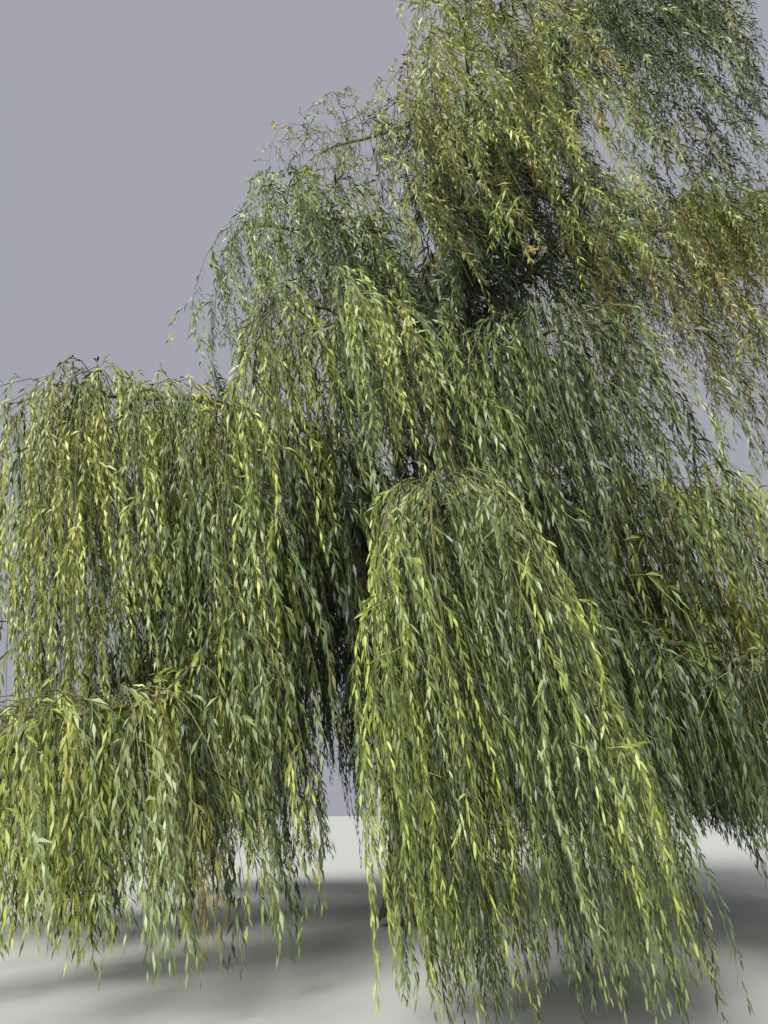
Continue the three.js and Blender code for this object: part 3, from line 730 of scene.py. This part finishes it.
# %% Moods of the masses, as weights of the leaf colours
MOODS = {
    "yellow-green": {"deep": 4, "green": 3, "grey": 4, "fresh": 6, "yellow": 4, "olive": 1},
    "curtain": {"deep": 6, "green": 6, "grey": 3.5, "blue": 3.5, "fresh": 2.8, "yellow": 0.4},
    "grey-green": {"deep": 3, "green": 5, "grey": 6, "blue": 2, "fresh": 2, "yellow": 0.6},
    "dull green": {"deep": 4, "green": 5, "grey": 4, "blue": 3, "fresh": 1, "olive": 1},
    # The lee mood's heavy deep and blue weights paint the shade that falls on the lee side.
    "lee": {"deep": 13, "green": 2, "grey": 1, "blue": 7, "fresh": 0.3, "olive": 0.3},
    "olive": {"deep": 2, "green": 2.5, "grey": 4, "blue": 1, "fresh": 3, "yellow": 2, "olive": 6,
              "gold": 2.5},
    "blue-green": {"deep": 6, "green": 4, "grey": 3, "blue": 6, "fresh": 1, "olive": 1.5},
    "gold": {"deep": 1, "green": 1, "grey": 2, "fresh": 3, "yellow": 4, "olive": 4, "gold": 5},
}
MASS_MOODS = {
    "yellow-green": ["outer_6", "inner_5", "inner_6"],
    "curtain": ["outer_1"],
    "grey-green": ["middle_1", "middle_8", "upper_2", "outer_5"],
    "dull green": ["middle_9", "middle_5", "middle_6", "middle_7", "inner_3", "inner_4", "outer_4"],
    "lee": ["outer_2", "outer_3", "inner_1", "inner_2", "middle_2", "middle_3", "upper_8"],
    "olive": ["upper_5", "upper_7", "upper_1", "top"],
    "blue-green": ["upper_4", "upper_6"],
    "gold": ["upper_3", "middle_4"],
}
mood_of = {name: mood for mood, names in MASS_MOODS.items() for name in names}
# The mood of a mass's highest shoots, and the share of its drop that they start above.
HIGH_MOODS = {
    "middle_3": (0.45, "gold"),
    "outer_2": (0.6, "gold"),
    "middle_1": (0.72, "yellow-green"),
    "middle_9": (0.72, "olive"),
}
# The share of shoots that keep their twig's colour, and the share of the crown's inside shoots, painted
# in shade, that take the deep green rather than the blue.
LIKE_ITS_TWIG, DEEP_SHADE_SHARE = 0.6, 0.6


def tints_in(mood, count, chance):
    """Leaf colours dealt out by the mood's weights, as their places in LEAF_NAMES."""
    weights = np.array([MOODS[mood].get(name, 0) for name in LEAF_NAMES], float)
    return chance.choice(len(LEAF_NAMES), count, p=weights / weights.sum())


def shoot_tints(mass, shoots, twig_of, chance):
    """The leaf colour of each shoot, as its place in LEAF_NAMES.

    Most shoots take their twig's colour, and the highest ones may have a mood of their own. Shoots
    deep inside the crown are given the deep and blue greens instead, as painted shade."""
    mood = mood_of[mass["name"]]
    high_share, high_mood = HIGH_MOODS.get(mass["name"], (1, mood))
    own = chance.random(len(shoots)) > LIKE_ITS_TWIG
    turn = np.where(own, twig_of.max() + 1 + np.arange(len(shoots)), twig_of)
    tint, high_tint = (tints_in(kind, turn.max() + 1, chance)[turn] for kind in (mood, high_mood))
    high = shoots[:, 0, 2] > mix(mass["hem"], mass["axis"][0, 2], high_share)
    tint = np.where(high, high_tint, tint)
    # Deep inside the crown a shoot's colour gives way to dark greens: painted shade.
    inside = chance.random(len(shoots)) < insideness(shoots[:, 2])
    deep = chance.random(len(shoots)) < DEEP_SHADE_SHARE
    painted_shade_tint = np.where(deep, LEAF_NAMES.index("deep"), LEAF_NAMES.index("blue"))
    return np.where(inside, painted_shade_tint, tint)


# %% Leaves along the shoots
# Widths and places are shares of a leaf's length.
LEAF_SLENDERNESS, LEAF_SPLAY, LEAF_SIZE_CHANCE = {4: 0.18, 6: 0.17}, (0.22, 0.62), (0.75, 1.2)
FIRST_LEAF, TIP_LEAF_LOSS, INSIDE_GROWTH = 0.05, 0.35, 0.8
SHOOT_TURN, TURN_SPREAD, ROLL_SPREAD, WIND_ON_LEAVES = 1.7, 0.4, 0.45, 0.25
STRAIGHT_ON, DROOP, DROOP_FROM = 1.4, 0.7, 0.45
WIDEST, LOW_SIDE, HIGH_SIDE, HIGH_SIDE_DROOP = 0.42, 0.24, 0.45, 0.2
LOW_WIDTH, HIGH_WIDTH = 0.46, 0.42


def leaf_places(shoots, lengths, spacing, chance):
    """Where leaves sit: the shoot of each, its place in line, its share of the way and the step."""
    slots = int(lengths.max() / spacing)
    shoot, slot = np.meshgrid(np.arange(len(shoots)), np.arange(slots), indexing="ij")
    away = (slot + chance.random(slot.shape)) * spacing + FIRST_LEAF
    share = away / lengths[:, None]
    held = share < 1
    shoot, slot, share = shoot[held], slot[held], share[held]
    step = np.clip(np.searchsorted(SHOOT_SHARES, share) - 1, 0, SHOOT_STEPS - 1)
    return shoot, slot, share, step


def leaf_corners(root, heading, length, blade, corners):
    """The outline of each leaf, which bends down from its widest place to its tip."""
    width = length * LEAF_SLENDERNESS[corners]
    drooped = unit(heading * STRAIGHT_ON - UP * DROOP)
    tip = root + heading * length * DROOP_FROM + drooped * length * (1 - DROOP_FROM)
    if corners == 4:
        wide = root + heading * length * WIDEST
        points = [root, wide - blade * width / 2, tip, wide + blade * width / 2]
    else:
        low = root + heading * length * LOW_SIDE
        high = root + heading * length * HIGH_SIDE + drooped * length * HIGH_SIDE_DROOP
        points = [root, low - blade * width * LOW_WIDTH, high - blade * width * HIGH_WIDTH,
                  tip, high + blade * width * HIGH_WIDTH, low + blade * width * LOW_WIDTH]
    return np.stack(points, axis=1)


def leaves_on(shoots, lengths, growth, corners, chance):
    """Corners of all leaves on the shoots of a mass, and each leaf's shoot."""
    shoot, slot, share, step = leaf_places(shoots, lengths, growth["spacing"], chance)
    between = (share - SHOOT_SHARES[step]) / (SHOOT_SHARES[step + 1] - SHOOT_SHARES[step])
    near, far = shoots[shoot, step], shoots[shoot, step + 1]
    root = near + (far - near) * between[:, None]
    along = unit(far - near)
    across = unit(np.cross(along, ODD_WAY))
    other = np.cross(along, across)
    wobble = chance.normal(0, TURN_SPREAD, len(slot))
    angle = (slot * math.radians(GOLDEN_ANGLE) + shoot * SHOOT_TURN + wobble)[:, None]
    outwards = across * np.cos(angle) + other * np.sin(angle)
    outwards[:, 0] += WIND_ON_LEAVES
    splay = chance.uniform(*LEAF_SPLAY, len(slot))[:, None] * growth["loose"]
    heading = unit(along + outwards * splay)
    blade = unit(np.cross(heading, outwards + chance.normal(0, ROLL_SPREAD, (len(slot), 3))))
    grown_size = (1 - TIP_LEAF_LOSS * share) * (1 + INSIDE_GROWTH * insideness(root))
    length = (growth["leaf"] * chance.uniform(*LEAF_SIZE_CHANCE, len(slot)) * grown_size)[:, None]
    return leaf_corners(root, heading, length, blade, corners), shoot


# %% Faces and colours of a mass's leaves
LEAF_FACES = {4: [[0, 1, 3], [1, 2, 3]], 6: [[0, 1, 5], [1, 2, 4], [1, 4, 5], [2, 3, 4]]}
LEAF_CLEAR = 0.01


def leaf_arrays(index, corners):
    """Corners, faces and the material of each face for one mass's leaves."""
    mass = masses[index]
    _, shoots, lengths, twig_of = grown[index]
    chance = np.random.default_rng(LEAF_SEED + index)
    points, shoot = leaves_on(shoots, lengths, growth_of(mass), corners, chance)
    tint = shoot_tints(mass, shoots, twig_of, chance)
    fits = np.all(points[:, :, 2] > LEAF_CLEAR, axis=1)
    points, shoot = points[fits], shoot[fits]
    faces = np.array(LEAF_FACES[corners])
    starts = np.arange(len(points)) * corners
    all_faces = (starts[:, None, None] + faces).reshape(-1, 3)
    looks = np.repeat(tint[shoot], len(faces))
    return points.reshape(-1, 3), all_faces, looks


# %% [markdown]
# ## Pieces of leaves and of twigs
#
# The tree's masses are joined into seven groups, and each group is one piece of leaves and one of
# shoots, twigs and stems. Each piece stays small enough to handle, and leaves stay apart from wood.

# %% Which masses each piece takes
def numbered(kind, first, last):
    return [f"{kind}_{number}" for number in range(first, last + 1)]


PIECES = {
    "front_curtain": (["outer_1"], "foliage_outer"),
    "outer": (numbered("outer", 2, SECTORS), "foliage_outer"),
    "inner": (numbered("inner", 1, SECTORS), "foliage_inner"),
    "middle_near": (numbered("middle", 1, 3) + numbered("middle", 9, 9), "foliage_middle"),
    "middle_far": (numbered("middle", 4, 8), "foliage_middle"),
    "upper_low": (numbered("upper", 1, 4), "foliage_upper"),
    "upper_high": (numbered("upper", 5, UPPER_BOUGHS) + ["top"], "foliage_upper"),
}
index_of = {mass["name"]: index for index, mass in enumerate(masses)}


def finish_piece(piece, mass_names):
    """Parents a piece to the root body, hides the solids that it takes the place of and prints its
    triangles.
    """
    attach(piece, "root")
    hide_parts(*[f"foliage_{name}" for name in mass_names])
    print(piece.name, sum(len(face.vertices) - 2 for face in piece.data.polygons), "triangles")


# %% Leaves
def leaf_piece(piece_name, mass_names, corners):
    made = [leaf_arrays(index_of[name], corners) for name in mass_names]
    points, faces = joined([(points, faces) for points, faces, _ in made])
    looks = np.concatenate([looks for _, _, looks in made])
    return mesh_piece(f"leaves_{piece_name}", points, faces, looks, leaf_materials)


# %% Shoots, twigs and stems
SHOOT_RADII = np.linspace(0.0035, 0.0015, SHOOT_STEPS + 1)
RIBBON_STEPS = [0, 1, 3, 5]
TWIG_RADIUS, TWIG_END_RADIUS, STEM_RINGS, STEM_SIDES = 0.009, 0.003, 9, 6


def shoot_arrays(shoots, are_round):
    """Shoots as tubes where they hang close to the eye, and as ribbons elsewhere."""
    radii = SHOOT_RADII[None].repeat(len(shoots), 0)
    if are_round:
        return tube_arrays(shoots, radii)
    return ribbon_arrays(shoots[:, RIBBON_STEPS], 2 * radii[:, RIBBON_STEPS])


def wood_arrays(name):
    """The stem of one mass and its twigs, each as a tube."""
    mass = masses[index_of[name]]
    stem = curve_points(mass["stem_curve"], np.linspace(0, 1, STEM_RINGS))[None]
    stem_radii = np.linspace(mass["limb"]["tip"], STEM_TIP_RADIUS, STEM_RINGS)[None]
    parts = [tube_arrays(stem, stem_radii, STEM_SIDES)]
    for line in grown[index_of[name]][0]:
        radii = np.linspace(TWIG_RADIUS, TWIG_END_RADIUS, len(line))
        parts.append(tube_arrays(line[None], radii[None]))
    return parts


def twig_piece(piece_name, mass_names, are_round):
    parts = [shoot_arrays(grown[index_of[name]][1], are_round) for name in mass_names]
    shoot_faces = sum(len(faces) for _, faces in parts)
    for name in mass_names:
        parts += wood_arrays(name)
    points, faces = joined(parts)
    looks = (np.arange(len(faces)) >= shoot_faces).astype(int)
    return mesh_piece(f"twigs_{piece_name}", points, faces, looks, [shoot_bark, twig_bark])


# %% Make the pieces
for piece_name, (mass_names, slot) in PIECES.items():
    is_near = piece_name == "front_curtain"
    finish_piece(leaf_piece(piece_name, mass_names, 6 if is_near else 4), mass_names)
    finish_piece(twig_piece(piece_name, mass_names, is_near), mass_names)

# %% [markdown]
# ## The bark
#
# Old willow bark is grey-brown, with deep crossing furrows that run along the trunk. A sculptor would
# carve them. Here a short round log gets dents all round from a noise, and is then drawn out along
# its limb, which turns the dents into long furrows. They grow finer as the limb grows thinner.

# %% Bark relief, modelled on a short log
# The log's radius is 1, so the relief's sizes are shares of the limb's radius: on the trunk a furrow
# is about 180 mm wide with finer ones in it, and up to 50 mm deep. The log is a fifth as long as the
# limb, which is why its dents come out as furrows five times as long as they are wide.
LOG_STRETCH = 5
RELIEF_WIDTH, RELIEF_DETAIL, RELIEF_DEPTH = 0.55, 3, 0.16
UPRIGHT_WITHIN = 1e-4
PATH_STEPS, MEASURED_AT = 32, 60
furrows = bpy.data.textures.new("bark relief", "MUSGRAVE")
furrows.musgrave_type = "RIDGED_MULTIFRACTAL"
furrows.noise_scale = RELIEF_WIDTH
furrows.octaves = RELIEF_DETAIL


def apply_modifier(piece, kind, **settings):
    modifier = piece.modifiers.new(kind.lower(), kind)
    for key, value in settings.items():
        setattr(modifier, key, value)
    bpy.ops.object.modifier_apply(modifier=modifier.name)


def cut_into_rings(log, cuts):
    """Cuts all upright edges of the log at once."""
    for part in (*log.data.vertices, *log.data.polygons):
        part.select = False
    for edge in log.data.edges:
        a, b = (log.data.vertices[index].co for index in edge.vertices)
        edge.select = bool(abs(a.x - b.x) + abs(a.y - b.y) < UPRIGHT_WITHIN)
    bpy.ops.object.mode_set(mode="EDIT")
    bpy.ops.mesh.subdivide(number_cuts=cuts)
    bpy.ops.object.mode_set(mode="OBJECT")


def bark_log(name, sides, cuts, length):
    """A log of radius 1, cut into rings twice over, with dents pressed in all round."""
    bpy.ops.object.select_all(action="DESELECT")
    bpy.ops.mesh.primitive_cylinder_add(vertices=sides, radius=1, depth=length)
    log = bpy.context.active_object
    log.name = name
    bpy.context.tool_settings.mesh_select_mode = (False, True, False)
    cut_into_rings(log, cuts)
    cut_into_rings(log, cuts)
    apply_modifier(log, "DISPLACE", texture=furrows, strength=RELIEF_DEPTH, mid_level=1.0)
    return log


# %% Draw the log out along its limb
def limb_path(limb):
    """A Bezier curve along the limb, whose radius thins the log out towards the tip."""
    path = bpy.data.curves.new(f"path of {limb['name']}", "CURVE")
    path.dimensions = "3D"
    path.resolution_u = PATH_STEPS
    path.use_radius = path.use_stretch = path.use_deform_bounds = True
    spline = path.splines.new("BEZIER")
    spline.bezier_points.add(1)
    first, last = spline.bezier_points
    for point in (first, last):
        point.handle_left_type = point.handle_right_type = "FREE"
    start, leaving, arriving, end = limb["curve"]
    first.co, first.radius = start, limb["foot"]
    first.handle_left, first.handle_right = 2 * start - leaving, leaving
    last.co, last.radius = end, limb["tip"]
    last.handle_left, last.handle_right = arriving, 2 * end - arriving
    holder = bpy.data.objects.new(path.name, path)
    bpy.context.scene.collection.objects.link(holder)
    return holder


def bark_limb(limb, sides, cuts):
    """The log bent along the limb's curve, without the helpers that bent it."""
    line = curve_points(limb["curve"], np.linspace(0, 1, MEASURED_AT))
    length = np.linalg.norm(np.diff(line, axis=0), axis=1).sum()
    log = bark_log(f"bark_{limb['name']}", sides, cuts, length / limb["foot"] / LOG_STRETCH)
    path = limb_path(limb)
    apply_modifier(log, "CURVE", object=path, deform_axis="POS_Z")
    bpy.data.curves.remove(path.data)
    return log


# %% The trunk's foot
# Corners lower than this, in metres, are set on the ground.
FOOT_TRIM = 0.03


def corners_of(piece):
    corners = np.empty(len(piece.data.vertices) * 3)
    piece.data.vertices.foreach_get("co", corners)
    return corners.reshape(-1, 3)


def flare_foot(piece):
    """Widens the trunk's foot into root flares and sets it flat on the ground."""
    corners = corners_of(piece)
    angle = np.arctan2(corners[:, 1], corners[:, 0])
    lobe = 1 + FLARE_LOBE_DEPTH * (np.cos(FLARE_LOBES * angle) - 1)
    flare = FLARE_WIDTH * lobe * np.exp(-np.maximum(corners[:, 2], 0) / FLARE_HEIGHT)
    away = np.hypot(corners[:, 0], corners[:, 1])
    is_rim = away > TRUNK_RADIUS / 2
    corners[is_rim, :2] *= (1 + flare / np.where(is_rim, away, 1))[is_rim, None]
    corners[:, 2] = np.where(corners[:, 2] < FOOT_TRIM, 0, corners[:, 2])
    piece.data.vertices.foreach_set("co", corners.ravel())
    piece.data.update()


# %% The bark's finish
# Weathered bark is dead and dry: it is all but matt. It is pale on the plates, and its darker tone
# between them is painted shade of the furrows.
# A plate is about 70 mm wide and 310 mm long, and a patch of green algae about 1.1 m across.
BARK_ROUGHNESS, BARK_GLOSS = 0.92, 0.2
PLATES_PER_METRE, PLATE_DETAIL, PLATE_ROUGHNESS = (14.4, 14.4, 3.2), 7, 0.62
ALGAE_PER_METRE, ALGAE_DETAIL, MOST_ALGAE = 0.9, 3, (0.45, 0.45, 0.45, 1)


def add_ramp(material, factor, low, low_colour, high, high_colour):
    """A ramp from one colour at a low value of the factor to another at a high one."""
    ramp = add_node(material, "ShaderNodeValToRGB", {}, {"Fac": factor})
    first, last = ramp.color_ramp.elements
    first.position, first.color = low, low_colour
    last.position, last.color = high, high_colour
    return ramp.outputs["Color"]


def bark_material():
    """Grey-brown bark with a green cast where algae grow on it, darker between
    its plates as painted shade of the furrows.
    """
    material = new_material("old willow bark", "#6f6455", BARK_ROUGHNESS, BARK_GLOSS)
    place = add_node(material, "ShaderNodeTexCoord").outputs["Object"]
    drawn_out = add_node(material, "ShaderNodeMapping", {"Scale": PLATES_PER_METRE}, {"Vector": place})
    plates = add_node(material, "ShaderNodeTexNoise",
                      {"Scale": 1, "Detail": PLATE_DETAIL, "Roughness": PLATE_ROUGHNESS},
                      {"Vector": drawn_out.outputs["Vector"]})
    # The ramp's dark end is painted shade of the furrows between the plates.
    plates_and_furrow_shade = add_ramp(material, plates.outputs["Fac"], 0.36, linear("#3a332a"), 0.66, linear("#776c5a"))
    damp = add_node(material, "ShaderNodeTexNoise",
                    {"Scale": ALGAE_PER_METRE, "Detail": ALGAE_DETAIL}, {"Vector": place})
    patches = add_ramp(material, damp.outputs["Fac"], 0.5, (0, 0, 0, 1), 0.72, MOST_ALGAE)
    mixed = add_node(material, "ShaderNodeMix", {"data_type": "RGBA"})
    share, plain, green = mixed.inputs[0], mixed.inputs[6], mixed.inputs[7]
    green.default_value = linear("#5c6142")
    links = material.node_tree.links
    links.new(patches, share)
    links.new(plates_and_furrow_shade, plain)
    links.new(mixed.outputs[2], material.node_tree.nodes["Principled BSDF"].inputs["Base Color"])
    return material


# %% Trunk and boughs in bark
# Sides of each limb, and the cuts made twice over along it.
LIMB_FINENESS = {
    "trunk": (72, 14),
    "outer": (20, 8),
    "inner": (12, 6),
    "middle": (12, 6),
    "upper": (12, 6),
}
old_bark = bark_material()
barks = [bark_limb(limb, *LIMB_FINENESS[limb["name"].split("_")[0]]) for limb in limbs]
for piece in barks:
    piece.data.materials.append(old_bark)
bark_trunk, *bough_pieces = barks
flare_foot(bark_trunk)

bpy.ops.object.select_all(action="DESELECT")
for piece in bough_pieces:
    piece.select_set(True)
bark_boughs = bough_pieces[0]
bpy.context.view_layer.objects.active = bark_boughs
bpy.ops.object.join()
bark_boughs.name = "bark_boughs"

bough_nodes = [f"bough_{limb['name']}" for limb in limbs[1:]]
for piece, nodes in ((bark_trunk, ["trunk"]), (bark_boughs, bough_nodes)):
    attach(piece, "root")
    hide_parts(*nodes)
    print(piece.name, sum(len(face.vertices) - 2 for face in piece.data.polygons), "triangles")

# %% [markdown]
# ## The floor, the light and the camera
#
# A plain pale floor and a plain pale sky keep the eye on the tree. The light is a wide, soft sun high
# behind the viewer's left shoulder, as under thin cloud: it makes the windward side bright and leaves
# the lee side dark. The camera is a phone's wide lens at eye height, tilted up.

# %% Floor and light
FLOOR_SIZE = 400
SKY_STRENGTH, SUN_STRENGTH, SUN_WIDTH = 0.64, 5.4, 30
SUN_TILT_BACK, SUN_TILT_ASIDE = 38, -28
bpy.ops.object.select_all(action="DESELECT")
bpy.ops.mesh.primitive_plane_add(size=FLOOR_SIZE, location=(0, 0, 0))
floor = bpy.context.active_object
floor.name = "floor"
floor.data.materials.append(new_material("pale matt floor", "#aeafa7", 0.9, 0.1))

world = bpy.data.worlds.new("pale sky")
world.use_nodes = True
sky = world.node_tree.nodes["Background"]
sky.inputs["Color"].default_value = linear("#c9cad6")
sky.inputs["Strength"].default_value = SKY_STRENGTH
bpy.context.scene.world = world

bpy.ops.object.light_add(type="SUN", location=(0, 0, 30))
sun = bpy.context.active_object
sun.rotation_euler = math.radians(SUN_TILT_BACK), math.radians(SUN_TILT_ASIDE), 0
sun.data.energy = SUN_STRENGTH
sun.data.angle = math.radians(SUN_WIDTH)
print("a sun of", SUN_WIDTH, "degrees lights the tree")

# %% Camera
EYE, TILTED_UP, LENS, PICTURE_WIDTH, SIGHT = (-0.37, -12.1, 1.5), 21.2, 27, 36, 500
bpy.ops.object.camera_add(location=EYE, rotation=(math.radians(90 + TILTED_UP), 0, 0))
camera = bpy.context.active_object
camera.data.lens = LENS
camera.data.sensor_width = PICTURE_WIDTH
camera.data.clip_end = SIGHT
bpy.context.scene.camera = camera
bpy.context.scene.view_settings.view_transform = "Standard"
